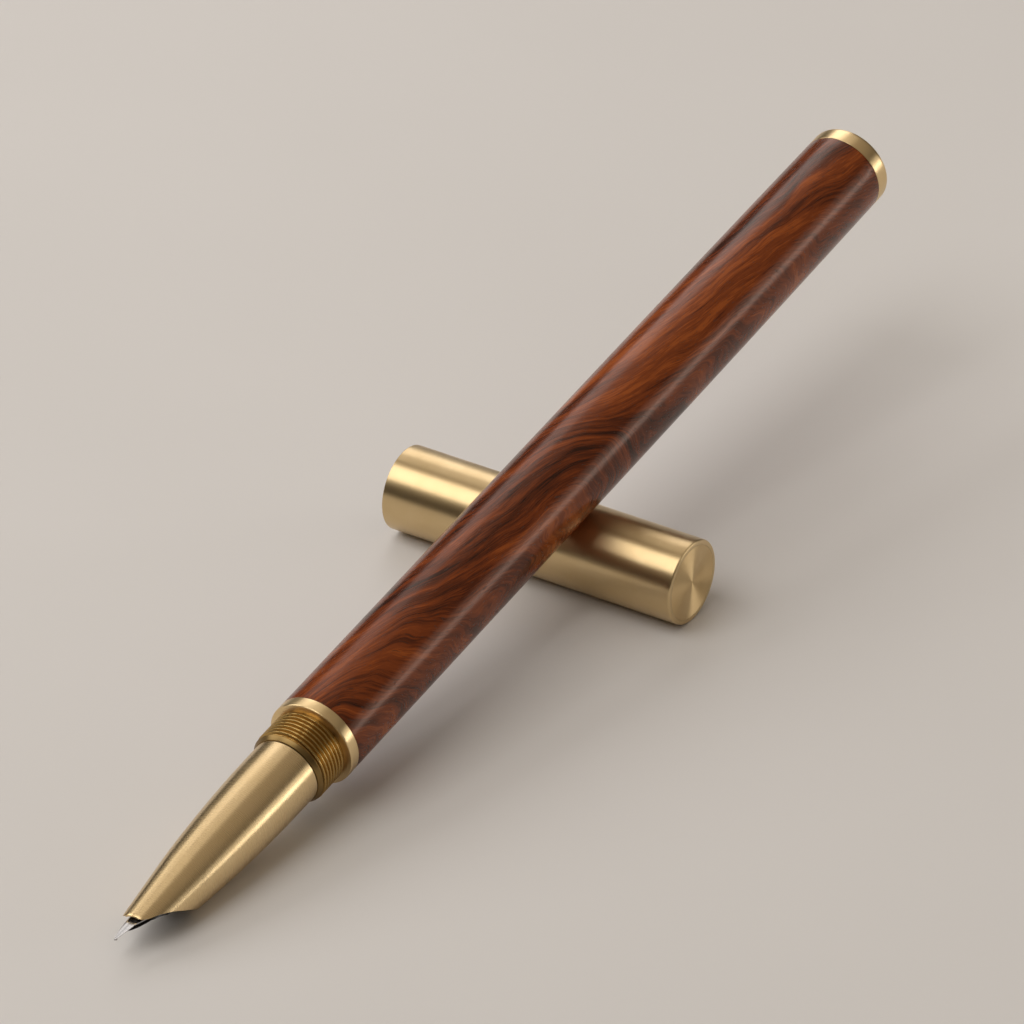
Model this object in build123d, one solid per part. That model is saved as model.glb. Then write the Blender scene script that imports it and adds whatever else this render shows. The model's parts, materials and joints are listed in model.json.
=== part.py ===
from build123d import *

# Slim fountain pen with a hooded nib, a wooden barrel and brass fittings, laid across its own brass cap.
#
# Millimetres. Every pen piece is drawn along +X, the pen's own axis: 0 is the place of the barrel that lies
# on the cap, the nib points to +X and the nib's top is +Z. Cap pieces are drawn along +X too, from the open
# mouth to the closed end. lay_down then puts them all on the table: +Z up, the table at Z = 0, and the
# origin under the middle of the whole object. The pen lies nose down and rolled a little to one side.

import os
from math import cos, degrees, pi, sin

os.makedirs("parts", exist_ok=True)

# Places along the pen's axis
TAIL_END = -58.72
WOOD_BACK = -56.56
WOOD_TAPER_START = -15.0
WOOD_FRONT = 49.64
RING_FRONT = 51.05
COLLAR_FRONT = 55.72
BELLY_EDGE = 75.05
HOOD_RIM = 83.0
NIB_POINT = 86.4

# Radii of the outside
BARREL_RADIUS = 5.0
TAIL_RADIUS = 4.9
CAP_THREAD_CREST = 4.36
CAP_THREAD_ROOT = 4.05
HOOD_BACK_RADIUS = 3.9
HOOD_CURVE_MIDDLE = (65.5, 3.72)
HOOD_CONE_START = (74.0, 3.13)
HOOD_RIM_RADIUS = 2.11
HOOD_RIM_WALL = 0.32
NIB_RADIUS = 1.42
NIB_SHEET = 0.2
NIB_RISE = 0.15
TIPPING_RADIUS = 0.22
BELLY_RADIUS = 3.01

# How far the pen is rolled about its own axis as it lies, in degrees
ROLL = 10.0

# The cap
CAP_RADIUS = 4.78
CAP_LENGTH = 36.5
CAP_BORE = 4.42
CAP_SHOWN_BEHIND = 21.4
CAP_END_THICKNESS = 0.8

# Fits and finishes
GAP = 0.02
RUNNING = 0.05
REST_GAP = 0.05
EDGE = 0.12

# Threads and the piston drive
CAP_THREAD_PITCH = 0.52
BARREL_THREAD_PITCH = 0.7
SPINDLE_PITCH = 1.0
PISTON_STROKE = 27.0

# Inner parts
LINER_OUTER = 4.4
LINER_BORE = 3.95
SPIGOT_BACK = 38.5
SPIGOT_RADIUS = 3.88
COLLAR_BORE = 3.05
COLLAR_FRONT_BORE = 3.45
COLLAR_SHOULDER = 49.8
HOOD_SPIGOT_BACK = 51.2
HOOD_BORE = 2.95
COLLECTOR_BACK = 62.5
COLLECTOR_NOSE = 74.0
NIPPLE_RADIUS = 1.25
CONVERTER_RADIUS = 3.4
CONVERTER_BORE = 2.9
CONVERTER_MOUTH = 47.0
CONVERTER_TUBE_BACK = -2.0
PISTON_BACK = 3.2
ROD_RADIUS = 1.9
KNOB_FRONT = -12.0
KNOB_BACK = -43.0

PARTS = {}


def keep(name, shape):
    """Files a finished piece, one solid or more, under its name."""
    solids = shape.solids()
    PARTS[name] = solids[0] if len(solids) == 1 else Compound(solids)


def outline_face(*edges):
    """A flat face inside a closed run of edges drawn in the XY plane."""
    return make_face([edge for part in edges for edge in part.edges()])


def turned(points):
    """A turned piece: a closed outline of (place, radius) points, spun about the pen's axis."""
    return revolve(make_face(Polyline(*points, close=True).edges()), Axis.X, 360)


def tube(start, end, outer, inner, edge=0.0):
    """A plain tube between two places, with its outer corners broken by edge."""
    return turned([
        (start, inner), (start, outer - edge), (start + edge, outer),
        (end - edge, outer), (end, outer - edge), (end, inner),
    ] if edge else [(start, inner), (start, outer), (end, outer), (end, inner)])


def rod(start, end, radius):
    """A solid round rod between two places."""
    return Pos((start + end) / 2, 0, 0) * Rot(0, 90, 0) * Cylinder(radius, end - start)


def side_slab(*edges):
    """A slab right across the pen: a closed side view of (place, height) edges, drawn in the XY plane."""
    return extrude(Plane.XZ * outline_face(*edges), 12, both=True)


def ring_thread(start, end, root, crest, pitch):
    """The outline of a row of thread ridges, root and crest radii in turn, from start to end."""
    points, place = [], start
    while place + pitch <= end:
        points += [(place, root), (place + 0.4 * pitch, crest), (place + 0.6 * pitch, crest)]
        place += pitch
    return points + [(place, root)]


# ---------------------------------------------------------------- barrel


def make_barrel():
    taper = TangentArc((WOOD_TAPER_START, BARREL_RADIUS), (WOOD_BACK, TAIL_RADIUS), tangent=(-1, 0))
    bore = LINER_OUTER + GAP
    wood = outline_face(
        Line((WOOD_FRONT, BARREL_RADIUS), (WOOD_TAPER_START, BARREL_RADIUS)),
        taper,
        Line((WOOD_BACK, TAIL_RADIUS), (WOOD_BACK, bore)),
        Line((WOOD_BACK, bore), (WOOD_FRONT, bore)),
        Line((WOOD_FRONT, bore), (WOOD_FRONT, BARREL_RADIUS)),
    )
    keep("wood_barrel", revolve(wood, Axis.X, 360))

    liner_back, gasket_seat, thread_end = WOOD_BACK + 0.9, WOOD_FRONT - 0.5, SPIGOT_BACK + 8.0
    ridges = ring_thread(SPIGOT_BACK + 0.6, thread_end, LINER_BORE + 0.15, LINER_BORE, BARREL_THREAD_PITCH)
    keep("barrel_liner", turned(
        [(liner_back, LINER_OUTER), (liner_back, LINER_BORE), (SPIGOT_BACK + 0.4, LINER_BORE)]
        + ridges
        + [(ridges[-1][0] + 0.2, LINER_BORE), (gasket_seat, LINER_BORE), (gasket_seat, LINER_OUTER - 0.06),
           (WOOD_FRONT, LINER_OUTER - 0.06), (WOOD_FRONT, LINER_OUTER)]
    ))
    keep("barrel_gasket", tube(gasket_seat + GAP, WOOD_FRONT - GAP, LINER_OUTER - 0.08, SPIGOT_RADIUS + 0.04))

    stud, bush_front = 1.45, liner_back + 4.0
    keep("tail_bush", tube(liner_back + RUNNING, bush_front, LINER_BORE - GAP, stud + RUNNING, edge=0.2))
    seat = LINER_OUTER - GAP
    disc = turned([
        (TAIL_END, 0), (TAIL_END, TAIL_RADIUS), (WOOD_BACK - GAP, TAIL_RADIUS), (WOOD_BACK - GAP, seat),
        (liner_back - GAP, seat), (liner_back - GAP, stud), (bush_front - 0.5, stud),
        (bush_front - 0.2, stud - 0.3), (bush_front - 0.2, 0),
    ])
    rim = disc.edges().filter_by(GeomType.CIRCLE).filter_by(
        lambda e: abs(e.radius - TAIL_RADIUS) < 1e-6 and e.center().X < TAIL_END + 0.01)
    keep("tail_finial", fillet(rim, 0.55))


def make_trim_ring():
    back, front = WOOD_FRONT + GAP, RING_FRONT - GAP
    keep("trim_ring", tube(back, front, BARREL_RADIUS, CAP_THREAD_ROOT - 0.05, edge=0.08))


# ---------------------------------------------------------------- section


def make_collar():
    """The piece that joins barrel and hood: a spigot screwed into the barrel, and the cap's thread."""
    barrel_thread, neck, land = SPIGOT_BACK + 0.5, CAP_THREAD_ROOT - 0.08, COLLAR_FRONT - 0.5
    low = SPIGOT_RADIUS - 0.25
    ridges = ring_thread(barrel_thread, SPIGOT_BACK + 8.2, low, SPIGOT_RADIUS, BARREL_THREAD_PITCH)
    cap_ridges = ring_thread(RING_FRONT + 0.25, land, CAP_THREAD_ROOT, CAP_THREAD_CREST, CAP_THREAD_PITCH)
    keep("threaded_collar", turned(
        [(SPIGOT_BACK, COLLAR_BORE), (SPIGOT_BACK, low - 0.1), (barrel_thread - 0.1, low)]
        + ridges
        + [(ridges[-1][0] + 0.6, low), (ridges[-1][0] + 0.8, SPIGOT_RADIUS), (WOOD_FRONT, SPIGOT_RADIUS),
           (WOOD_FRONT, neck), (RING_FRONT, neck), (RING_FRONT, CAP_THREAD_ROOT)]
        + cap_ridges
        + [(land, CAP_THREAD_CREST - 0.06), (COLLAR_FRONT, HOOD_BACK_RADIUS + 0.06),
           (COLLAR_FRONT, COLLAR_FRONT_BORE),
           (COLLAR_SHOULDER, COLLAR_FRONT_BORE), (COLLAR_SHOULDER, COLLAR_BORE)]
    ))


def under_cut(lift=0.0):
    """Everything below and in front of the curved cutaway of the hood's underside, raised by lift."""
    line = [(84.0, 1.95), (83.1, 1.77), (82.3, 1.5), (81.3, 1.24), (80.3, 0.84), (79.4, 0.4),
            (78.4, -0.27), (77.3, -1.02), (76.1, -1.98), (BELLY_EDGE - 0.2, -3.2)]
    curve = Spline(*[(x, z + lift) for x, z in line])
    below, ahead = -6, NIB_POINT + 4
    rest = Polyline(curve @ 1, (BELLY_EDGE - 0.25, below), (ahead, below), (ahead, 1.95 + lift), curve @ 0)
    return side_slab(curve, rest)


def make_hood():
    """The tapering nose over the nib, a thin shell cut away below so that the nib looks out."""
    curve = ThreePointArc((COLLAR_FRONT, HOOD_BACK_RADIUS), HOOD_CURVE_MIDDLE, HOOD_CONE_START)
    rim_bore, spigot = HOOD_RIM_RADIUS - HOOD_RIM_WALL, COLLAR_FRONT_BORE - GAP
    taper_start = (63.5, HOOD_BORE)
    front = Polyline(HOOD_CONE_START, (HOOD_RIM, HOOD_RIM_RADIUS), (HOOD_RIM, rim_bore))
    inside = ThreePointArc((HOOD_RIM, rim_bore), (74.2, 2.62), taper_start)
    shoulder = COLLAR_FRONT + GAP
    back = Polyline(
        (COLLAR_FRONT, HOOD_BACK_RADIUS), (shoulder, HOOD_BACK_RADIUS), (shoulder, spigot),
        (HOOD_SPIGOT_BACK, spigot), (HOOD_SPIGOT_BACK, HOOD_BORE), taper_start,
    )
    shell = outline_face(curve, front, inside, back)
    keep("hood", revolve(shell, Axis.X, 360) - under_cut())


def make_nib_housing():
    """The plastic housing that holds nib and feed, with the nipple that the converter pushes onto."""
    flange_front, bore, rib = COLLAR_SHOULDER + 0.7, 0.6, 2.0
    keep("nib_housing", turned([
        (42.4, bore), (42.4, NIPPLE_RADIUS - 0.15), (42.7, NIPPLE_RADIUS), (47.4, NIPPLE_RADIUS), (47.4, rib),
        (COLLAR_SHOULDER - 1.4, rib), (COLLAR_SHOULDER - 1.0, COLLAR_BORE - GAP),
        (COLLAR_SHOULDER + GAP, COLLAR_BORE - GAP), (COLLAR_SHOULDER + GAP, 3.4), (flange_front, 3.4),
        (flange_front, HOOD_BORE - 0.03), (COLLECTOR_BACK - 0.2, HOOD_BORE - 0.03),
        (COLLECTOR_BACK - 0.2, NIB_RADIUS + 0.04), (55.0, NIB_RADIUS + 0.04), (55.0, bore),
    ]))
    keep("hood_o_ring", revolve(Pos(flange_front + 0.3, 3.18) * Circle(0.22), Axis.X, 360))


def make_collector():
    """The finned plastic drum that buffers the ink, with a smooth nose that backs the nib under the hood."""
    drum, root, fin, gap, bore = HOOD_BORE - 0.1, 2.2, 0.36, 0.34, NIB_RADIUS + 0.04
    points, place = [(COLLECTOR_BACK, 0)], COLLECTOR_BACK
    while place + fin + gap < COLLECTOR_NOSE - 1.0:
        reach = min(drum, drum - 0.065 * (place - 65.0))
        points += [(place, reach), (place + fin, reach), (place + fin, root), (place + fin + gap, root)]
        place += fin + gap
    nose_end = HOOD_RIM - 2.5
    points += [(place, 2.24), (COLLECTOR_NOSE, 2.5), (nose_end, NIB_RADIUS + 0.2), (nose_end, 0)]
    # The nose runs out thinner than the nib's bore, so the bore is cut once the outside is turned.
    nib_bore = rod(COLLECTOR_BACK - 1, NIB_POINT, bore)
    vent = Pos(COLLECTOR_BACK + 5, 0, -2.6) * Box(11.0, 0.3, 1.4)
    keep("collector", turned(points) - nib_bore - under_cut(0.55) - vent)


def make_feed():
    """The feed rod under the nib: an ink channel on top, an air channel and a comb of slots below."""
    radius = NIB_RADIUS - NIB_SHEET - 0.03
    line = [(84.4, radius), (83.2, 0.92), (81.6, 0.6), (80.2, 0.12), (78.8, -0.7), (77.2, -1.6)]
    sole = side_slab(Polyline(*line, (73.5, -3), (NIB_POINT, -3), (NIB_POINT, radius), close=True))
    sides = [Pos(84.8, side * 1.15, 0) * Rot(0, 0, -side * 12) * Box(9.0, 1.2, 6.0) for side in (-1, 1)]
    channel = Pos(71.0, 0, radius) * Box(27.0, 0.3, 0.9)
    air = Pos(63.0, 0, -radius) * Box(15.0, 0.7, 0.8)
    combs = [Pos(63.6 + 0.8 * i, 0, -radius) * Box(0.35, 4.0, 0.9) for i in range(15)]
    keep("feed", rod(55.5, 84.7, radius) - sole - sides - channel - air - combs)


def nib_plan():
    """The nib's outline from above: a broad tail, sloping shoulders and a slender point."""
    half = [(57.0, 3.0), (79.0, 3.0), (79.8, 1.41), (81.4, 1.12), (82.3, 0.96), (83.5, 0.62), (84.7, 0.43),
            (NIB_POINT - 0.25, 0.17)]
    both = half + [(x, -y) for x, y in reversed(half)]
    return extrude(Pos(0, 0, -0.6) * make_face(Polyline(*both, close=True).edges()), 6)


def make_nib():
    """A curved steel nib, slit to a vent hole, whose point rises a little and carries a hard tip."""
    flat_end, point = 82.0, NIB_POINT - 0.25
    outer = [(57.0, NIB_RADIUS), (flat_end, NIB_RADIUS), (point, NIB_RADIUS + NIB_RISE)]
    inner = [(x, r - NIB_SHEET) for x, r in reversed(outer)]
    slit = Pos(84.2, 0, NIB_RADIUS) * Box(8.4, 0.07, 2.0)
    vent_hole = Pos(80.0, 0, NIB_RADIUS) * Cylinder(0.3, 2.0)
    keep("nib", (turned(outer + inner) & nib_plan()) - slit - vent_hole)
    bead = Sphere(TIPPING_RADIUS, arc_size1=0, arc_size2=90)
    keep("nib_tipping", Pos(point, 0, NIB_RADIUS + NIB_RISE - NIB_SHEET / 2 - 0.04) * Rot(0, 90, 0) * bead)


# ---------------------------------------------------------------- converter


def make_converter():
    """The screw-piston converter that fills the pen: tube, metal sleeve, piston, rod, spindle and knob."""
    neck_radius, neck_bore, tube_back = 2.9, 2.35, CONVERTER_TUBE_BACK
    keep("converter_tube", turned([
        (CONVERTER_MOUTH, NIPPLE_RADIUS + GAP), (CONVERTER_MOUTH, neck_radius - 0.2),
        (CONVERTER_MOUTH - 0.2, neck_radius), (38.2, neck_radius), (37.9, CONVERTER_RADIUS),
        (tube_back, CONVERTER_RADIUS), (tube_back, CONVERTER_BORE), (37.2, CONVERTER_BORE),
        (37.7, neck_bore), (41.8, neck_bore), (42.3, NIPPLE_RADIUS + GAP),
    ]))
    sleeve = CONVERTER_RADIUS + 0.14
    keep("converter_sleeve", turned([
        (9.0, CONVERTER_RADIUS + GAP), (9.0, sleeve), (KNOB_FRONT + 0.2, sleeve),
        (KNOB_FRONT + 0.2, ROD_RADIUS + RUNNING), (KNOB_FRONT + 2.0, ROD_RADIUS + RUNNING),
        (KNOB_FRONT + 2.0, CONVERTER_BORE), (tube_back - GAP, CONVERTER_BORE),
        (tube_back - GAP, CONVERTER_RADIUS + GAP),
    ]))
    seal, waist = CONVERTER_BORE - RUNNING, 2.3
    keep("piston_seal", Pos(PISTON_BACK, 0, 0) * turned([
        (GAP, 0), (GAP, seal), (0.6, seal), (0.9, waist), (2.3, waist), (2.6, seal), (3.2, seal),
        (3.4, 1.2), (3.4, 0),
    ]))
    rod_back, nut_bore, flange = KNOB_FRONT - PISTON_STROKE - 0.5, 1.3, 2.5
    keep("piston_rod", turned([
        (rod_back, nut_bore), (rod_back, ROD_RADIUS), (PISTON_BACK - 1.2, ROD_RADIUS),
        (PISTON_BACK - 1.2, flange), (PISTON_BACK, flange), (PISTON_BACK, 0),
        (PISTON_BACK - 0.8, 0), (PISTON_BACK - 0.8, nut_bore),
    ]))
    spindle_root, crest, cavity_back = KNOB_BACK + 1.0, 1.2, rod_back - 1.0
    spindle = ring_thread(cavity_back + 0.3, 1.0, 0.95, crest, SPINDLE_PITCH)
    shank = [(spindle_root, 0), (spindle_root, crest), (cavity_back + 0.2, crest)]
    keep("drive_spindle", turned(shank + spindle + [(spindle[-1][0], 0)]))
    knob, cavity = 3.3, ROD_RADIUS + 0.2
    body = turned([
        (KNOB_FRONT, cavity), (KNOB_FRONT, knob), (KNOB_BACK + 0.6, knob), (KNOB_BACK, knob - 0.6),
        (KNOB_BACK, 0), (spindle_root - 0.1, 0), (spindle_root - 0.1, crest + GAP),
        (cavity_back, crest + GAP), (cavity_back, cavity),
    ])
    flutes = [
        Rot(360 / 24 * i, 0, 0) * Pos(0, knob + 0.1, 0) * rod(KNOB_BACK + 2.5, KNOB_FRONT - 2.5, 0.25)
        for i in range(24)
    ]
    keep("converter_knob", body - flutes)


# ---------------------------------------------------------------- cap


def make_cap():
    """The thin brass cap: a threaded tube closed by a turned end plug, with a plastic lining."""
    end_inside, chamfer, thread_start, liner_start = CAP_LENGTH - CAP_END_THICKNESS, 0.3, 0.9, 5.2
    crest = CAP_THREAD_ROOT + 0.09
    ridges = ring_thread(thread_start, liner_start - 0.4, CAP_BORE, crest, CAP_THREAD_PITCH)
    keep("cap_tube", turned(
        [(0, CAP_BORE + 0.12), (0, CAP_RADIUS - EDGE), (EDGE, CAP_RADIUS), (CAP_LENGTH - chamfer, CAP_RADIUS),
         (CAP_LENGTH, CAP_RADIUS - chamfer), (CAP_LENGTH, CAP_BORE - 0.2)]
        + [(end_inside, CAP_BORE - 0.2), (end_inside, CAP_BORE)]
        + [(x, r) for x, r in reversed(ridges)]
        + [(0.3, CAP_BORE)]
    ))
    keep("cap_end_plug", tube(end_inside, CAP_LENGTH, CAP_BORE - 0.2 - GAP, 0))
    lining, thin, deep = CAP_BORE - GAP, 0.34, 3.1
    keep("cap_lining", turned([
        (liner_start, lining - thin), (liner_start, lining), (end_inside - GAP, lining),
        (end_inside - GAP, deep), (end_inside - 12.0, lining - thin),
    ]))


# ---------------------------------------------------------------- the resting pose


def axis_height(angle):
    """Height of the pen's axis above the cap's axis line on the table, for a pen laid at that angle."""
    return CAP_RADIUS + (CAP_RADIUS + BARREL_RADIUS + REST_GAP) / cos(angle)


def belly_height(angle):
    """Height above the table of the hood's lowest point, the back edge of its cutaway."""
    return axis_height(angle) - BELLY_EDGE * sin(angle) - BELLY_RADIUS * cos(angle)


def resting_angle():
    """The angle at which the barrel lies on the cap and the hood's belly just meets the table."""
    low, high = 0.0, pi / 6
    for _ in range(60):
        middle = (low + high) / 2
        low, high = (middle, high) if belly_height(middle) > 0 else (low, middle)
    return low


REST_ANGLE = resting_angle()
PEN_PLACE = Pos(0, 0, axis_height(REST_ANGLE)) * Rot(0, degrees(REST_ANGLE), 0) * Rot(ROLL, 0, 0)
CAP_PLACE = Pos(0, -CAP_SHOWN_BEHIND, CAP_RADIUS) * Rot(0, 0, 90)
CAP_PIECES = ("cap_tube", "cap_end_plug", "cap_lining")


def lay_down():
    """Lays every piece on the table, and returns the shift that brings the origin under the middle."""
    for name, shape in PARTS.items():
        PARTS[name] = (CAP_PLACE if name in CAP_PIECES else PEN_PLACE) * shape
    boxes = [shape.bounding_box() for shape in PARTS.values()]
    middle_x = (min(box.min.X for box in boxes) + max(box.max.X for box in boxes)) / 2
    middle_y = (min(box.min.Y for box in boxes) + max(box.max.Y for box in boxes)) / 2
    return Pos(-middle_x, -middle_y, 0)


make_barrel()
make_trim_ring()
make_collar()
make_hood()
make_nib_housing()
make_collector()
make_feed()
make_nib()
make_converter()
make_cap()

CENTRING = lay_down()
for part_name, part_shape in PARTS.items():
    PARTS[part_name] = CENTRING * part_shape
    export_step(PARTS[part_name], f"parts/{part_name}.step")
print("resting angle", round(degrees(REST_ANGLE), 3), "centring", tuple(CENTRING.position))
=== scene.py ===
"""A slim fountain pen lying across its own brass cap: the looks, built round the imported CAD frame.

Lengths inside the pieces are in millimetres, in the pen's or the cap's own space, whose +X is its axis.
"""

import json
import math

import bpy
from mathutils import Matrix, Vector


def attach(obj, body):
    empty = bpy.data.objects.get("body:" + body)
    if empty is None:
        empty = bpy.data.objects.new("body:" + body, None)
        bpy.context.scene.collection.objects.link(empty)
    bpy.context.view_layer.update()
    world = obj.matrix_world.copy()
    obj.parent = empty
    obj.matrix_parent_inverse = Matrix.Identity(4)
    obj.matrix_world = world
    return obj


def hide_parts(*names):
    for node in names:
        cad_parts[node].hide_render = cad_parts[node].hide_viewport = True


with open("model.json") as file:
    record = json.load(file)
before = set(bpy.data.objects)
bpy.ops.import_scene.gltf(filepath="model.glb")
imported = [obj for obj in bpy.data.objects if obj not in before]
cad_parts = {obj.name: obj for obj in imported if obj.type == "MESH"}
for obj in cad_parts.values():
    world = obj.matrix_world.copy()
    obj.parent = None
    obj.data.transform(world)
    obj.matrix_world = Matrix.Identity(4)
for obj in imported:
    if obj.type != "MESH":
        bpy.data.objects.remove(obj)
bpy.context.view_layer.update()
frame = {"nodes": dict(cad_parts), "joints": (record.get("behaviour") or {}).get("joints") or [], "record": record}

MM = 0.001

# Points round each turned piece, and the edge angle, in degrees, from which an edge is drawn sharp
TURNS = 192
SHARP = 32.0

# Places along the pen's axis, from where it crosses the cap, and radii
TAIL_END, WOOD_BACK, TAPER_START, WOOD_FRONT = -58.72, -56.56, -15.0, 49.64
RING_FRONT, COLLAR_FRONT = 51.05, 55.72
CONE_START, HOOD_RIM, NIB_POINT = 74.0, 83.0, 86.4
BARREL_RADIUS, TAIL_RADIUS, BARREL_BORE = 5.0, 4.9, 4.42
THREAD_ROOT, THREAD_CREST, THREAD_PITCH = 4.05, 4.36, 0.52
HOOD_BACK, CONE_RADIUS, RIM_RADIUS = 3.9, 3.13, 2.11
NIB_RADIUS, NIB_RISE, NIB_SHEET, HALF_SLIT = 1.42, 0.15, 0.2, 0.025

# The gap between two pieces that meet
GAP = 0.02

# How far the pen is rolled about its own axis as it lies, in degrees
ROLL = 10.0

# The cap, from its open mouth to its closed end
CAP_LENGTH, CAP_RADIUS, CAP_BORE, END_THICKNESS = 36.5, 4.78, 4.42, 0.8


# ---------------------------------------------------------------- spaces


def joint(name):
    """That joint's record."""
    return next(j for j in frame["joints"] if j["name"] == name)


def axis_space(point, along, up):
    """A space with +X along an axis, its +Z as near to up as it can be, and its origin at point."""
    x = Vector(along).normalized()
    y = Vector(up).cross(x).normalized()
    turn = Matrix((x, y, x.cross(y))).transposed().to_4x4()
    return Matrix.Translation(Vector(point)) @ turn


# Where the converter's knob turns, along the pen's axis
KNOB_MIDDLE = -27.0
knob = joint("knob_turn")
pen_axis = Vector(knob["axis"]).normalized()
PEN = axis_space(Vector(knob["pos_m"]) - pen_axis * KNOB_MIDDLE * MM, pen_axis, (0, 0, 1))
PEN = PEN @ Matrix.Rotation(math.radians(ROLL), 4, "X")
cap_end = next(m for m in frame["record"]["mounts"] if m["name"] == "cap_end")
cap_axis = Vector(cap_end["axis"])
CAP = axis_space(Vector(cap_end["pos_m"]) - cap_axis * CAP_LENGTH * MM, cap_axis, (0, 0, 1))


# ---------------------------------------------------------------- mesh tools


def mesh_object(name, vertices, faces, space, material):
    """An object with its vertices in mm in its own space, smooth but for its sharp edges."""
    mesh = bpy.data.meshes.new(name)
    mesh.from_pydata([Vector(v) * MM for v in vertices], [], faces)
    mesh.validate()
    mesh.polygons.foreach_set("use_smooth", [True] * len(mesh.polygons))
    mesh.set_sharp_from_angle(angle=math.radians(SHARP))
    mesh.materials.append(material)
    piece = bpy.data.objects.new(name, mesh)
    bpy.context.scene.collection.objects.link(piece)
    piece.matrix_world = space
    return piece


def rounded(points, size, steps=4):
    """A closed outline with its corners rounded: points are (x, r) or (x, r, own size).

    Corners on the axis, and corners that turn by less than 8 degrees, stay as they are.
    """
    out, count = [], len(points)
    for i, point in enumerate(points):
        here = Vector(point[:2])
        back, ahead = Vector(points[i - 1][:2]) - here, Vector(points[(i + 1) % count][:2]) - here
        own = point[2] if len(point) > 2 else size
        reach = min(own, 0.45 * back.length, 0.45 * ahead.length)
        if own <= 0 or here.y < 1e-6 or back.angle(ahead) > math.radians(172):
            out.append(tuple(here))
            continue
        start, end = here + back.normalized() * reach, here + ahead.normalized() * reach
        for k in range(steps + 1):
            t = k / steps
            out.append(tuple((1 - t) ** 2 * start + 2 * t * (1 - t) * here + t * t * end))
    return out


def around(x, r, turn):
    """A point at that place and radius, that share of a full turn round the axis from the top."""
    return (x, -r * math.sin(2 * math.pi * turn), r * math.cos(2 * math.pi * turn))


def lathe(name, points, space, material):
    """A turned piece: a closed outline of (x, r) spun round +X, with one vertex for each point on the axis."""
    vertices, rows = [], []
    for x, r in points:
        if r < 1e-6:
            rows.append([len(vertices)] * TURNS)
            vertices.append((x, 0, 0))
            continue
        rows.append(range(len(vertices), len(vertices) + TURNS))
        vertices += [around(x, r, k / TURNS) for k in range(TURNS)]
    faces = []
    for i in range(len(rows)):
        a, b = rows[i], rows[(i + 1) % len(rows)]
        for k in range(TURNS):
            n = (k + 1) % TURNS
            ring = [a[k], b[k], b[n], a[n]]
            face = [v for j, v in enumerate(ring) if v != ring[j - 1]]
            if len(face) > 2:
                faces.append(face)
    return mesh_object(name, vertices, faces, space, material)


def grid(name, rows, space, material):
    """A closed skin over rows of points; each row is a closed loop, and the last row meets the first."""
    count = len(rows[0])
    faces = []
    for i in range(len(rows)):
        a, b = i * count, (i + 1) % len(rows) * count
        for k in range(count):
            n = (k + 1) % count
            faces.append([a + k, b + k, b + n, a + n])
    return mesh_object(name, [p for row in rows for p in row], faces, space, material)


def closed_strip(name, rows, space, material):
    """A closed bar over rows of points, with its two ends capped."""
    count = len(rows[0])
    faces = []
    for i in range(len(rows) - 1):
        for k in range(count):
            n = (k + 1) % count
            faces.append([i * count + k, (i + 1) * count + k, (i + 1) * count + n, i * count + n])
    last = (len(rows) - 1) * count
    for k in range(count // 2 - 1):
        faces.append([k, k + 1, count - 2 - k, count - 1 - k])
        faces.append([last + k + 1, last + k, last + count - 1 - k, last + count - 2 - k])
    return mesh_object(name, [p for row in rows for p in row], faces, space, material)


def place(piece, body, slot, *nodes):
    """Puts a piece on its body in the place of those CAD nodes, and hides them; slot is not used."""
    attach(piece, body)
    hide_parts(*nodes)


# ---------------------------------------------------------------- material tools


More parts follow.
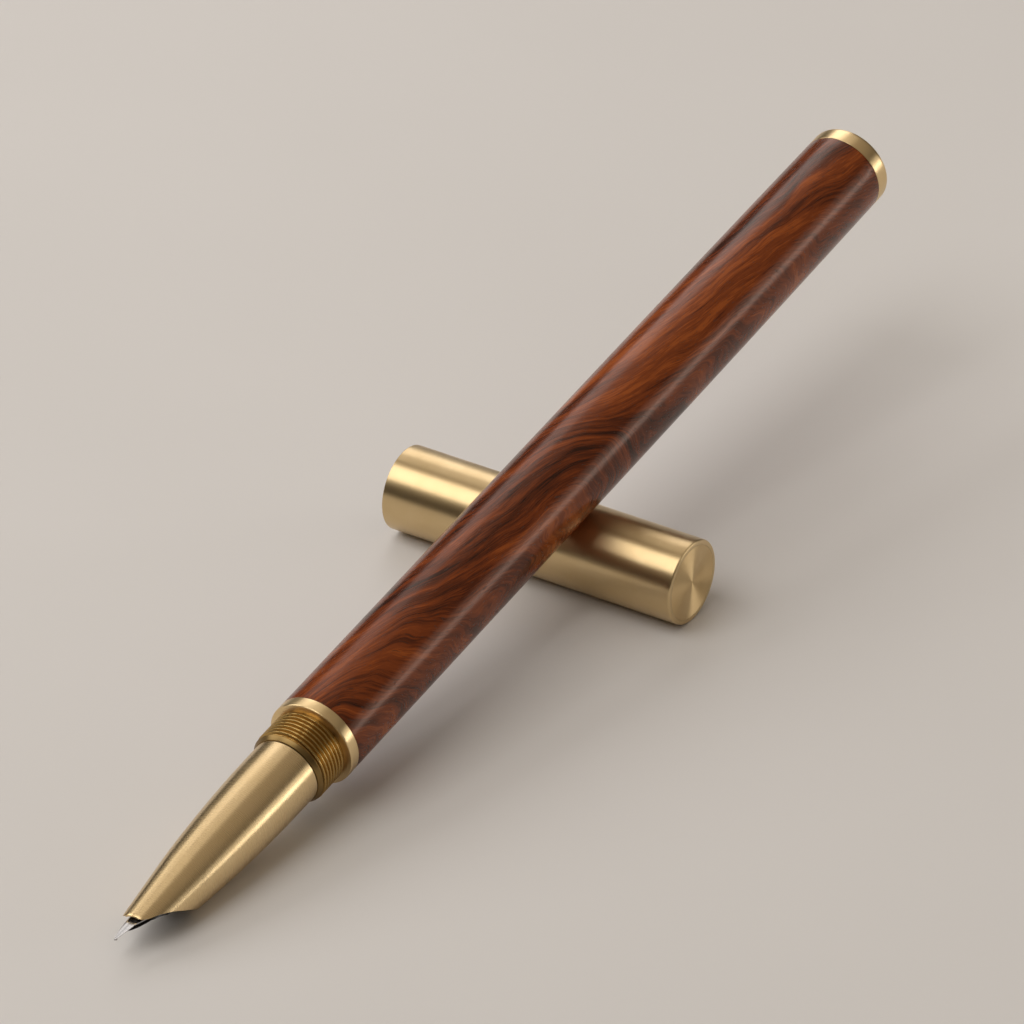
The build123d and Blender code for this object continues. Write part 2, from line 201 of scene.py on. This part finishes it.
class Nodes:
    """A short way to write a material's node tree."""

    def __init__(self, name):
        self.material = bpy.data.materials.new(name)
        self.material.use_nodes = True
        self.tree = self.material.node_tree
        self.shader = self.tree.nodes["Principled BSDF"]

    def add(self, kind, values=None, **settings):
        node = self.tree.nodes.new("ShaderNode" + kind)
        for key, value in settings.items():
            setattr(node, key, value)
        for key, value in (values or {}).items():
            self.feed(node.inputs[key], value)
        return node

    def feed(self, socket, value):
        if isinstance(value, bpy.types.NodeSocket):
            self.tree.links.new(value, socket)
        else:
            socket.default_value = value

    def math(self, operation, a, b=0.0, c=0.0):
        node = self.add("Math", operation=operation)
        for socket, value in zip(node.inputs, (a, b, c)):
            self.feed(socket, value)
        return node.outputs[0]

    def total(self, *values):
        out = values[0]
        for value in values[1:]:
            out = self.math("ADD", out, value)
        return out

    def times(self, a, b):
        return self.math("MULTIPLY", a, b)

    def local(self):
        """The place in the piece's own space, in mm."""
        scaled = self.add("VectorMath", operation="SCALE")
        self.feed(scaled.inputs[0], self.add("TexCoord").outputs["Object"])
        scaled.inputs["Scale"].default_value = 1 / MM
        return scaled.outputs[0]

    def split(self, vector):
        return self.add("SeparateXYZ", {"Vector": vector}).outputs

    def join(self, x, y, z):
        return self.add("CombineXYZ", {"X": x, "Y": y, "Z": z}).outputs[0]

    def noise(self, vector, scale=1.0, detail=2.0, rough=0.5, distortion=0.0):
        return self.add("TexNoise", {"Vector": vector, "Scale": scale, "Detail": detail,
                                     "Roughness": rough, "Distortion": distortion}).outputs["Fac"]

    def ramp(self, value, stops):
        node = self.add("ValToRGB", {"Fac": value})
        points = node.color_ramp.elements
        while len(points) < len(stops):
            points.new(0.5)
        for point, (position, colour) in zip(points, stops):
            point.position = position
            point.color = (*colour, 1.0)
        node.color_ramp.interpolation = "EASE"
        return node.outputs["Color"]

    def remap(self, value, low, high, to_low, to_high):
        node = self.add("MapRange", {"Value": value, "From Min": low, "From Max": high,
                                     "To Min": to_low, "To Max": to_high})
        return node.outputs["Result"]

    def mix(self, factor, a, b):
        node = self.add("Mix", data_type="RGBA")
        for key, value in ((0, factor), (6, a), (7, b)):
            if isinstance(value, tuple) and len(value) == 3:
                value = (*value, 1.0)
            self.feed(node.inputs[key], value)
        return node.outputs[2]

    def bump(self, height, distance, strength):
        node = self.add("Bump", {"Height": height, "Distance": distance * MM, "Strength": strength})
        return node.outputs[0]

    def set(self, **values):
        """Feeds the shader's inputs, named with _ for a space, and gives the finished material."""
        for key, value in values.items():
            if isinstance(value, tuple) and len(value) == 3:
                value = (*value, 1.0)
            self.feed(self.shader.inputs[key.replace("_", " ")], value)
        return self.material


def brass(name, rough=0.3, stretch=0.75, tint=(0.80, 0.605, 0.33), face=False):
    """Satin brass, finely turned: thin rings round the axis, or rings on a faced end, and faint tarnish."""
    m = Nodes(name)
    spot = m.local()
    x, y, z = m.split(spot)
    across = m.math("SQRT", m.total(m.times(y, y), m.times(z, z))) if face else x
    ring = m.join(m.times(across, 34.0), m.times(y, 0.12), m.times(z, 0.12))
    lines = m.noise(ring, 1.0, 3.0, 0.6)
    stain = m.noise(spot, 0.22, 4.0, 0.6)
    worn = tuple(c * k for c, k in zip(tint, (0.9, 0.86, 0.76)))
    colour = m.mix(m.remap(stain, 0.35, 0.75, 0.0, 0.5), tint, worn)
    colour = m.mix(m.remap(lines, 0.3, 0.7, 0.0, 0.12), colour, tuple(c * 0.86 for c in tint))
    roughness = m.total(m.remap(lines, 0.3, 0.7, rough - 0.02, rough + 0.02),
                        m.remap(stain, 0.3, 0.7, -0.02, 0.03))
    # A quarter turn of the radial tangent draws highlights out along the axis, or outwards on a faced end
    tangent = m.add("Tangent", direction_type="RADIAL", axis="X").outputs[0]
    return m.set(Base_Color=colour, Metallic=1.0, Roughness=roughness, Anisotropic=stretch,
                 Anisotropic_Rotation=0.25, Tangent=tangent, Normal=m.bump(lines, 0.002, 0.4))


def wood(name):
    """Polished dark rosewood: near-black streaks that swirl through red-brown, with fine open pores."""
    m = Nodes(name)
    spot = m.local()
    x, y, z = m.split(spot)
    # side runs across the grain's layers over the face of the barrel, deep runs into the wood
    side = m.total(m.times(y, 0.695), m.times(z, -0.722))
    deep = m.total(m.times(y, 0.722), m.times(z, 0.695))

    def swell(centre, width, height):
        """A smooth step along the barrel, that wide and that high."""
        step = m.math("TANH", m.math("DIVIDE", m.math("SUBTRACT", x, centre), width))
        return m.math("MULTIPLY_ADD", step, height / 2, height / 2)

    # layer counts the grain's layers: they run slanting along the barrel, swing over twice, wander and bow
    slow = m.noise(m.join(m.times(x, 0.05), m.times(y, 0.16), m.times(z, 0.16)))
    wander = m.times(m.math("SUBTRACT", slow, 0.5), 5.0)
    bowl = m.times(m.times(deep, deep), 0.07)
    layer = m.total(side, m.times(x, 0.2), swell(-1.0, 3.6, 6.0), swell(42.0, 16.0, 7.0), wander, bowl)

    def streaks(across, along, detail, seed):
        """Streaks in the layers: how fine they are across the grain and along it."""
        v = m.join(m.math("MULTIPLY_ADD", layer, across, seed), m.times(x, along), m.times(deep, along * 2))
        return m.noise(v, 1.0, detail, 0.6, 0.25)

    fibre = streaks(16.0, 0.9, 2.0, 41.0)
    darker_front = m.remap(x, -10.0, 45.0, 0.0, -0.022)
    broad = streaks(0.38, 0.035, 2.0, 3.7)
    middling = streaks(1.5, 0.09, 3.0, 11.0)
    narrow = streaks(6.5, 0.3, 3.0, 23.0)
    tone = m.total(m.times(broad, 0.36), m.times(middling, 0.30), m.times(narrow, 0.24), m.times(fibre, 0.10),
                   darker_front)
    colour = m.ramp(tone, [(0.39, (0.020, 0.004, 0.002)), (0.455, (0.085, 0.016, 0.004)),
                           (0.525, (0.185, 0.037, 0.007)), (0.605, (0.32, 0.074, 0.013))])
    pores = m.noise(m.join(m.times(layer, 7.0), m.times(x, 1.1), m.times(deep, 4.0)), 1.0, 1.0)
    pore = m.remap(pores, 0.66, 0.72, 0.0, 1.0)
    colour = m.mix(m.times(pore, 0.6), colour, (0.008, 0.004, 0.003))
    grain = m.noise(spot, 5.0, 2.0, 0.6)
    roughness = m.total(m.remap(grain, 0.3, 0.7, 0.17, 0.27), m.times(pore, 0.15))
    height = m.total(m.times(fibre, 0.4), m.times(pore, -1.0), m.times(grain, 0.5))
    return m.set(Base_Color=colour, Roughness=roughness, Normal=m.bump(height, 0.008, 0.5), IOR=1.5,
                 Specular_IOR_Level=0.4, Specular_Tint=(1.0, 0.66, 0.48))


def steel(name, rough=0.22):
    """Fine brushed steel, the brushing running across the nib."""
    m = Nodes(name)
    x, y, z = m.split(m.local())
    lines = m.noise(m.join(m.times(x, 26.0), m.times(y, 2.0), m.times(z, 2.0)))
    colour = m.mix(m.remap(lines, 0.3, 0.7, 0.0, 1.0), (0.62, 0.62, 0.63), (0.78, 0.77, 0.76))
    roughness = m.remap(lines, 0.3, 0.7, rough - 0.05, rough + 0.08)
    return m.set(Base_Color=colour, Metallic=1.0, Roughness=roughness, Normal=m.bump(lines, 0.006, 0.4))


def plastic(name, colour, rough, clear=0.0):
    """Moulded plastic with a faint grain; clear lets light through it."""
    m = Nodes(name)
    spot = m.local()
    grain = m.noise(spot, 9.0, 3.0, 0.6)
    darker = tuple(c * 0.85 for c in colour)
    shade = m.mix(m.remap(m.noise(spot, 0.6), 0.3, 0.7, 0.0, 1.0), darker, colour)
    return m.set(Base_Color=shade, Roughness=m.remap(grain, 0.3, 0.7, rough * 0.8, rough * 1.25),
                 Normal=m.bump(grain, 0.01, 0.3), Transmission_Weight=clear, IOR=1.49)


SATIN = brass("satin_brass")
HOOD_BRASS = brass("hood_brass", rough=0.27, tint=(0.755, 0.57, 0.315))
CAP_BRASS = brass("cap_brass", rough=0.33, tint=(0.68, 0.515, 0.285))
THREAD_BRASS = brass("thread_brass", rough=0.27, stretch=0.4, tint=(0.45, 0.29, 0.10))
# Painted shade: a dark brass for the collar's front bevel, in place of the shade where the hood meets the collar
PAINTED_SHADE_BEVEL_BRASS = brass("painted_shade_bevel_brass", rough=0.36, stretch=0.4, tint=(0.26, 0.17, 0.065))
# Painted shade: a near-black brass for the hood's inside, in place of the shade within the hood
PAINTED_SHADE_HOOD_INSIDE = brass("painted_shade_hood_inside", rough=0.5, stretch=0.2, tint=(0.10, 0.065, 0.03))
FACED = brass("faced_brass", rough=0.48, stretch=0.95, face=True)
ROSEWOOD = wood("rosewood")
STEEL = steel("nib_steel")
TIP = steel("tip_alloy", rough=0.15)
BLACK = plastic("black_plastic", (0.012, 0.012, 0.013), 0.28)
LINING = plastic("lining_plastic", (0.02, 0.02, 0.021), 0.5)
CLEAR = plastic("clear_plastic", (0.86, 0.9, 0.92), 0.06, clear=1.0)
RUBBER = plastic("seal_rubber", (0.02, 0.02, 0.02), 0.65)
PLATED = brass("plated_metal", rough=0.16, stretch=0.5, tint=(0.72, 0.72, 0.74))


# ---------------------------------------------------------------- barrel


def barrel_radius(x):
    """The barrel's outside: straight in front, and drawn in a little towards the tail."""
    t = max(0.0, (TAPER_START - x) / (TAPER_START - WOOD_BACK))
    return BARREL_RADIUS - (BARREL_RADIUS - TAIL_RADIUS) * t * t


def make_barrel():
    """The wooden sleeve, with its ends' edges broken."""
    steps, broken_edge = 60, 0.07
    xs = [WOOD_FRONT + (WOOD_BACK - WOOD_FRONT) * i / steps for i in range(steps + 1)]
    outline = [(x, barrel_radius(x)) for x in xs] + [(WOOD_BACK, BARREL_BORE), (WOOD_FRONT, BARREL_BORE)]
    outline = [(x, r, broken_edge) if i in (0, steps) else (x, r, 0.0) for i, (x, r) in enumerate(outline)]
    sleeve = lathe("wood_barrel_sleeve", rounded(outline, 0.0), PEN, ROSEWOOD)
    place(sleeve, "barrel", "polished_wood", "wood_barrel")


def make_finial():
    """The brass disc behind the wood, with its step into the barrel's bore and its stud."""
    dome_edge, broken_edge = 0.62, 0.05
    step_radius, step_front = 4.38, WOOD_BACK + 0.9 - GAP
    stud_radius, stud_front = 1.45, WOOD_BACK + 4.4
    outline = [(TAIL_END, 0), (TAIL_END, TAIL_RADIUS, dome_edge),
               (WOOD_BACK - GAP, TAIL_RADIUS, broken_edge), (WOOD_BACK - GAP, step_radius),
               (step_front, step_radius), (step_front, stud_radius), (stud_front, stud_radius), (stud_front, 0)]
    disc = lathe("tail_finial_disc", rounded(outline, 0.06, 6), PEN, SATIN)
    place(disc, "barrel", "satin_brass", "tail_finial")


def make_ring():
    """The trim ring in front of the wood, with a softer front edge."""
    bore, back, front, front_edge = 4.0, WOOD_FRONT + GAP, RING_FRONT - GAP, 0.14
    outline = [(back, BARREL_RADIUS), (back, bore), (front, bore), (front, BARREL_RADIUS, front_edge)]
    band = lathe("trim_ring_band", rounded(outline, 0.05), PEN, SATIN)
    place(band, "section", "satin_brass", "trim_ring")


# ---------------------------------------------------------------- section


def thread_height(turn):
    """How high a V thread with rounded crest and root stands, 0 to 1, at a share of its pitch."""
    flat, flank = 0.12, 0.76
    t = abs((turn % 1.0) - 0.5) * 2
    return 0.5 + 0.5 * math.cos(math.pi * min(1.0, max(0.0, (t - flat) / flank)))


def make_collar():
    """The threaded collar, its cap thread a true right-hand helix that fades out at both ends."""
    land, relief, fade_length = COLLAR_FRONT - 0.5, RING_FRONT + 0.25, 0.25
    ring_seat, front_bore = 3.97, 3.46
    bevel = [(COLLAR_FRONT - GAP, front_bore), (COLLAR_FRONT - GAP, HOOD_BACK + 0.06, 0.03),
             (land + GAP, THREAD_CREST - 0.06, 0.05), (land, THREAD_ROOT)]
    steps = 180
    middle = [(land + (relief - land) * i / steps, THREAD_ROOT) for i in range(1, steps)]
    # The spigot behind the ring, with the thread that holds the barrel, and the bore for the housing
    crest, root, pitch, turns, first_turn = 3.88, 3.63, 0.7, 11, 46.7
    shoulder, spigot_end, bore, bore_front = 47.5, 38.5, 3.05, 49.8
    tail = [(relief, THREAD_ROOT), (RING_FRONT, THREAD_ROOT), (RING_FRONT, ring_seat),
            (WOOD_FRONT, ring_seat), (WOOD_FRONT, crest), (shoulder, crest), (shoulder - 0.2, root)]
    for k in range(turns):
        start = first_turn - pitch * k
        tail += [(start, root), (start - 0.4 * pitch, crest), (start - 0.6 * pitch, crest)]
    tail += [(spigot_end + 0.5, root), (spigot_end, root - 0.1), (spigot_end, bore), (bore_front, bore),
             (bore_front, front_bore)]
    rows = []
    front = rounded(bevel, 0.0)
    for x, r in front + middle + tail:
        fade = max(0.0, min(1.0, (x - relief) / fade_length, (land - x) / fade_length))
        loop = []
        for k in range(TURNS):
            turn = k / TURNS
            height = thread_height((x - relief) / THREAD_PITCH + turn) * fade
            loop.append(around(x, r + (THREAD_CREST - THREAD_ROOT) * height, turn))
        rows.append(loop)
    collar = grid("threaded_collar_turned", rows, PEN, THREAD_BRASS)
    # Painted shade: the front bevel's faces take the dark bevel brass, for the shade where the hood meets the
    # collar
    collar.data.materials.append(PAINTED_SHADE_BEVEL_BRASS)
    for face in collar.data.polygons[:len(front) * TURNS]:
        face.material_index = 1
    place(collar, "section", "satin_brass", "threaded_collar")


def hood_outer(x):
    """The hood's outside radius: a slow curve that runs into a straight cone."""
    if x > CONE_START:
        return CONE_RADIUS + (RIM_RADIUS - CONE_RADIUS) * (x - CONE_START) / (HOOD_RIM - CONE_START)
    d, slope, bend = x - COLLAR_FRONT, 0.0089, 0.00279
    return HOOD_BACK + slope * d - bend * d * d


def hood_inner(x):
    """The hood's inside radius, which thins the wall to a fine edge at the rim."""
    rim_wall, more_wall, thin_length = 0.2, 0.5, 13.0
    return hood_outer(x) - (rim_wall + more_wall * min(1.0, (HOOD_RIM - x) / thin_length))


# The cutaway's edge seen from the side, as places along the pen and heights above its axis
CUTAWAY = [(73.0, -5.4), (74.85, -3.2), (76.1, -1.98), (77.3, -1.02), (78.4, -0.27), (79.4, 0.4),
           (80.3, 0.84), (81.3, 1.24), (82.3, 1.5), (83.1, 1.77), (84.0, 1.95)]


def cut_height(x):
    """Height of the curved cutaway below the hood at a place, a smooth curve through the CUTAWAY points."""
    i = next(i for i in range(1, len(CUTAWAY)) if x <= CUTAWAY[i][0])
    (xa, za), (xb, zb) = CUTAWAY[i - 1], CUTAWAY[i]
    before, after = CUTAWAY[max(0, i - 2)], CUTAWAY[min(len(CUTAWAY) - 1, i + 1)]
    span = xb - xa
    slope_a = (zb - before[1]) / (xb - before[0])
    slope_b = (after[1] - za) / (after[0] - xa)
    t = (x - xa) / span
    return ((2 * t ** 3 - 3 * t * t + 1) * za + (t ** 3 - 2 * t * t + t) * span * slope_a
            + (3 * t * t - 2 * t ** 3) * zb + (t ** 3 - t * t) * span * slope_b)


def cut_end(radius_at, turn):
    """Where a line along the hood, that share of a turn from its top, meets the rim or the cutaway."""
    low, high = CONE_START, HOOD_RIM
    up = math.cos(2 * math.pi * turn)
    if radius_at(high) * up >= cut_height(high):
        return high
    halvings = 40
    for _ in range(halvings):
        mid = (low + high) / 2
        low, high = (mid, high) if radius_at(mid) * up > cut_height(mid) else (low, mid)
    return low


def make_hood():
    """The hood: a thin turned shell, each line along it running from the collar to the cutaway's edge."""
    steps, edge, back = 72, 0.05, COLLAR_FRONT + GAP
    bevel, crowding = 0.09, 0.85
    loops = []
    for k in range(TURNS):
        turn = k / TURNS
        out_end, in_end = cut_end(hood_outer, turn), cut_end(hood_inner, turn)
        line = [(back, hood_outer(back) - 0.16), (back + 0.02, hood_outer(back) - 0.07)]
        start = back + bevel
        for i in range(steps + 1):
            x = start + (out_end - edge - start) * (i / steps) ** crowding
            line.append((x, hood_outer(x)))
        line.append((out_end - 0.3 * edge, hood_outer(out_end) - 0.3 * edge))
        line.append((in_end, hood_inner(in_end) + 0.3 * edge))
        for i in range(steps, -1, -1):
            x = back + (in_end - edge - back) * (i / steps) ** crowding
            line.append((x, hood_inner(x)))
        loops.append([around(x, r, turn) for x, r in line])
    rows = [list(row) for row in zip(*loops)]
    shell = grid("hood_shell", rows, PEN, HOOD_BRASS)
    # Painted shade: the inside faces take the near-black brass, for the shade within the hood
    shell.data.materials.append(PAINTED_SHADE_HOOD_INSIDE)
    # Five rows of points, for the bevel and the edge, come with the outside's
    inside = TURNS * (steps + 5)
    for face in shell.data.polygons[inside:]:
        face.material_index = 1
    place(shell, "section", "satin_brass", "hood")


# Half the nib's width at places along the pen
NIB_PLAN = [(57.0, 1.41), (79.8, 1.41), (81.4, 1.12), (82.3, 0.96), (83.5, 0.62), (84.7, 0.43),
            (NIB_POINT - 0.25, 0.14)]


def nib_half_width(x):
    """Half the nib's width from above: a broad tail, sloping shoulders and a slender point."""
    i = next(i for i in range(1, len(NIB_PLAN)) if x <= NIB_PLAN[i][0])
    (xa, wa), (xb, wb) = NIB_PLAN[i - 1], NIB_PLAN[i]
    return wa + (wb - wa) * (x - xa) / (xb - xa)


def nib_top(x):
    """Height of the nib's top, which rises a little towards the point."""
    start = 82.0
    return NIB_RADIUS + NIB_RISE * max(0.0, (x - start) / (NIB_POINT - start))


def make_nib():
    """The nib: a steel sheet with a flat top and turned-down sides, split along its middle."""
    count, fine_start, fine_steps, end = 16, 80.0, 40, NIB_POINT - 0.25
    flat_half, down_turn = 0.42, 1.36
    xs = [57.0, 66.0, 74.0, 78.0, 79.6]
    xs += [fine_start + (end - fine_start) * i / fine_steps for i in range(fine_steps + 1)]
    for side in (1, -1):
        rows = []
        for x in xs:
            half, top = nib_half_width(x), nib_top(x)
            flat = min(flat_half, 0.8 * half)
            outer, inner = [], []
            for i in range(count + 1):
                t = i / count
                w = HALF_SLIT + (half - HALF_SLIT) * t
                bent = down_turn * max(0.0, w - flat)
                height = top - NIB_RADIUS + math.sqrt(NIB_RADIUS ** 2 - bent ** 2)
                outer.append((x, side * w, height))
                # The sheet thins towards its edge
                inner.append((x, side * (w - 0.2 * NIB_SHEET * t), height - NIB_SHEET * (1.0 - 0.4 * t)))
            rows.append(outer + inner[::-1])
        piece = closed_strip("nib_tine_right" if side > 0 else "nib_tine_left", rows, PEN, STEEL)
        place(piece, "section", "nib_steel", "nib")


def make_tipping():
    """The hard bead at the nib's point, split like the tines."""
    rings, count = 9, 20
    radius, back, length, drop = 0.16, NIB_POINT - 0.5, 0.33, 0.13
    for side in (1, -1):
        rows = []
        for i in range(rings + 1):
            t = i / rings
            x = back + length * t
            # A ball's outline, cut off just before its two poles
            r = radius * math.sqrt(max(0.02, 1 - (2 * t - 1) ** 2 * 0.96))
            centre = nib_top(x) - drop
            loop = []
            for k in range(count):
                a = math.pi * k / (count - 1)
                loop.append((x, side * (HALF_SLIT + r * math.sin(a)), centre + r * math.cos(a)))
            rows.append(loop)
        name = "tip_bead_right" if side > 0 else "tip_bead_left"
        place(closed_strip(name, rows, PEN, TIP), "section", "hard_tip", "nib_tipping")


# ---------------------------------------------------------------- cap


def make_cap():
    """The cap's tube, with the thread inside its mouth, and the turned plug that closes it."""
    end_inside, ring_bore, end_edge, corner_steps = CAP_LENGTH - END_THICKNESS, CAP_BORE - 0.2, 0.28, 6
    plain_start, plain_steps = 1.5, 12
    mouth = [(0.3, CAP_BORE), (0, CAP_BORE + 0.12, 0.05), (0, CAP_RADIUS, 0.13), (plain_start, CAP_RADIUS),
             (plain_start, CAP_BORE)]
    closed = [(CAP_LENGTH - plain_start, CAP_RADIUS), (CAP_LENGTH, CAP_RADIUS, end_edge),
              (CAP_LENGTH, ring_bore), (end_inside, ring_bore), (end_inside, CAP_BORE)]
    plain_length = CAP_LENGTH - 2 * plain_start
    run = [(plain_start + plain_length * i / plain_steps, CAP_RADIUS) for i in range(1, plain_steps)]
    # The thread inside, from its two ends, fading out over a fifth of a millimetre
    start, stop, steps, thread_depth, fade_length = 0.9, 4.9, 140, 0.26, 0.2
    bore = [(stop - (stop - start) * i / steps, CAP_BORE) for i in range(steps + 1)]
    rows = []
    for x, r in rounded(mouth, 0.0, corner_steps)[:-1] + run + rounded(closed, 0.0, corner_steps) + bore:
        fade = 0.0
        if r == CAP_BORE:
            fade = max(0.0, min(1.0, (x - start) / fade_length, (stop - x) / fade_length))
        depth = thread_depth * fade
        rows.append([around(x, r - depth * thread_height(x / THREAD_PITCH - k / TURNS), k / TURNS)
                     for k in range(TURNS)])
    place(grid("cap_shell", rows, CAP, CAP_BRASS), "cap", "satin_brass", "cap_tube")
    face, rings, groove = ring_bore - GAP, 30, 0.008
    waves = [(CAP_LENGTH - groove * (i % 2), face * i / rings) for i in range(1, rings)]
    plug = [(end_inside, 0), (CAP_LENGTH, 0)] + waves + [(CAP_LENGTH, face), (end_inside, face)]
    place(lathe("cap_end_disc", plug, CAP, FACED), "cap", "satin_brass", "cap_end_plug")


def dress_inner():
    """Gives the inner CAD pieces their materials."""
    looks = {
        "barrel_liner": THREAD_BRASS, "barrel_gasket": RUBBER, "tail_bush": BLACK, "hood_o_ring": RUBBER,
        "nib_housing": BLACK, "collector": BLACK, "feed": BLACK, "converter_tube": CLEAR,
        "converter_sleeve": PLATED, "piston_seal": RUBBER, "piston_rod": BLACK, "drive_spindle": PLATED,
        "converter_knob": BLACK, "cap_lining": LINING,
    }
    for name, material in looks.items():
        mesh = frame["nodes"][name].data
        mesh.materials.clear()
        mesh.materials.append(material)


make_barrel()
make_finial()
make_ring()
make_collar()
make_hood()
make_nib()
make_tipping()
make_cap()
dress_inner()


# ---------------------------------------------------------------- stage


def make_floor():
    """The plain pale table."""
    m = Nodes("pale_floor")
    spot = m.local()
    cloud = m.noise(spot, 0.01, 3.0)
    colour = m.mix(m.remap(cloud, 0.3, 0.7, 0.0, 1.0), (0.70, 0.68, 0.66), (0.73, 0.71, 0.69))
    m.set(Base_Color=colour, Roughness=0.75, Normal=m.bump(m.noise(spot, 3.0, 3.0), 0.02, 0.2))
    half = 1.6
    corners = [(-half, -half, 0), (half, -half, 0), (half, half, 0), (-half, half, 0)]
    mesh = bpy.data.meshes.new("floor")
    mesh.from_pydata(corners, [], [(0, 1, 2, 3)])
    mesh.materials.append(m.material)
    floor = bpy.data.objects.new("floor", mesh)
    bpy.context.scene.collection.objects.link(floor)


def area_light(name, direction, distance, size, radiance, colour, shift=0.0):
    """A soft box that far from the pen in that direction, then shifted along the pen.

    Its size is along the pen, then across. Radiance is its brightness, whatever its size.
    """
    lamp = bpy.data.lights.new(name, "AREA")
    lamp.shape = "RECTANGLE"
    lamp.size, lamp.size_y = size
    lamp.energy = 4.0 * radiance * size[0] * size[1]
    lamp.color = colour
    holder = bpy.data.objects.new(name, lamp)
    bpy.context.scene.collection.objects.link(holder)
    way = Vector(direction).normalized()
    across = way.cross(pen_axis).normalized()
    along = across.cross(way)
    turn = Matrix((along, across, way)).transposed().to_4x4()
    middle = Vector((0.0, 0.0, 0.015))
    holder.matrix_world = Matrix.Translation(middle + way * distance + along * shift) @ turn


def make_world():
    """Soft room light, dim near the horizon and brighter overhead."""
    world = bpy.data.worlds.new("studio")
    world.use_nodes = True
    tree = world.node_tree
    background = tree.nodes["Background"]
    height = tree.nodes.new("ShaderNodeSeparateXYZ")
    tree.links.new(tree.nodes.new("ShaderNodeTexCoord").outputs["Generated"], height.inputs[0])
    strength = tree.nodes.new("ShaderNodeMapRange")
    strength.interpolation_type = "SMOOTHSTEP"
    for key, value in {"From Min": 0.1, "From Max": 0.95, "To Min": 0.04, "To Max": 0.36}.items():
        strength.inputs[key].default_value = value
    tree.links.new(height.outputs["Z"], strength.inputs["Value"])
    tree.links.new(strength.outputs["Result"], background.inputs["Strength"])
    background.inputs["Color"].default_value = (1.0, 0.86, 0.70, 1.0)
    bpy.context.scene.world = world


def make_camera():
    """A long lens looking down at 32 degrees; its place is measured from where pen and cap cross."""
    data = bpy.data.cameras.new("camera")
    data.lens, data.sensor_width = 284.223, 36.0
    data.clip_start, data.clip_end = 0.05, 20.0
    camera = bpy.data.objects.new("camera", data)
    crossing = Vector((cap_end["pos_m"][0], knob["pos_m"][1], 0.0))
    bpy.context.scene.collection.objects.link(camera)
    yaw, pitch, roll = math.radians(212.6978), math.radians(31.5929), math.radians(-0.16335)
    ahead = Vector((math.cos(yaw) * math.cos(pitch), math.sin(yaw) * math.cos(pitch), -math.sin(pitch)))
    right = Vector((math.sin(yaw), -math.cos(yaw), 0.0))
    up = right.cross(ahead)
    right, up = right * math.cos(roll) + up * math.sin(roll), up * math.cos(roll) - right * math.sin(roll)
    turn = Matrix((right, up, -ahead)).transposed().to_4x4()
    reach = Vector((0.624613, 0.393248, 0.462578))
    camera.matrix_world = Matrix.Translation(crossing + reach) @ turn
    bpy.context.scene.camera = camera


make_floor()
make_world()
make_camera()
# Three key lights on one side of the pen, a strip and its glow on the other, then fills
area_light("key_soft_box", (-0.531, -0.569, 0.626), 0.75, (0.55, 0.354), 0.68, (1.0, 0.97, 0.96))
area_light("key_hot_end", (-0.531, -0.569, 0.626), 0.74, (0.34, 0.3), 0.9, (1.0, 0.97, 0.98), shift=-0.17)
area_light("key_edge_glow", (-0.496, -0.185, 0.847), 0.75, (0.55, 0.33), 0.26, (1.0, 0.95, 0.9))
area_light("side_strip", (-0.61, 0.78, 0.08), 0.8, (0.45, 0.13), 2.7, (1.0, 0.97, 0.95))
area_light("side_glow", (-0.59, 0.76, 0.24), 0.8, (0.45, 0.2), 0.8, (1.0, 0.96, 0.9))
area_light("low_back", (-0.84, -0.47, 0.27), 0.8, (0.3, 0.3), 0.6, (1.0, 0.97, 0.93))
area_light("overhead", (0.45, -0.25, 0.86), 1.0, (0.7, 0.7), 1.9, (1.0, 0.98, 0.96))
area_light("back_fill", (0.2, -0.85, 0.52), 1.0, (0.7, 0.5), 2.0, (1.0, 0.98, 0.96))
bpy.context.scene.view_settings.view_transform = "Standard"
bpy.context.scene.view_settings.look = "None"
